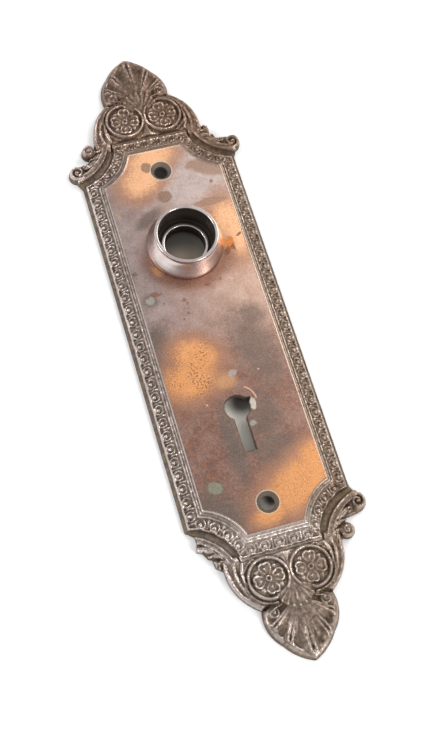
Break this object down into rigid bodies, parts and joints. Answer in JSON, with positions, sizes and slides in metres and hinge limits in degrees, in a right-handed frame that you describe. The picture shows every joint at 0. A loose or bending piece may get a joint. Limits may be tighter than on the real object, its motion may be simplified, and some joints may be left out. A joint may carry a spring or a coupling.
{
  "type": "doorknob backplate",
  "caption": "Long ornate cast backplate for a door knob, with a turned knob collar, a keyhole, countersunk screw holes, an egg-and-dart border and palmette ends with broken corner scrolls.",
  "frame": {"origin": "middle of the plate on its back plane, halfway between the tips of the two palmettes", "axes": "+Z out of the plate's face, +Y up the door towards the knob's end, +X to the right seen from the front; the plate lies on its back"},
  "size_m": [0.0718, 0.258, 0.0154],
  "materials": {
    "casting": "worn copper plate, oxidised brown, satin",
    "collar": "turned, satin, worn bright on the rim"
  },
  "bodies": {
    "root": {"backplate": "casting", "knob_collar": "collar"}
  },
  "joints": []
}
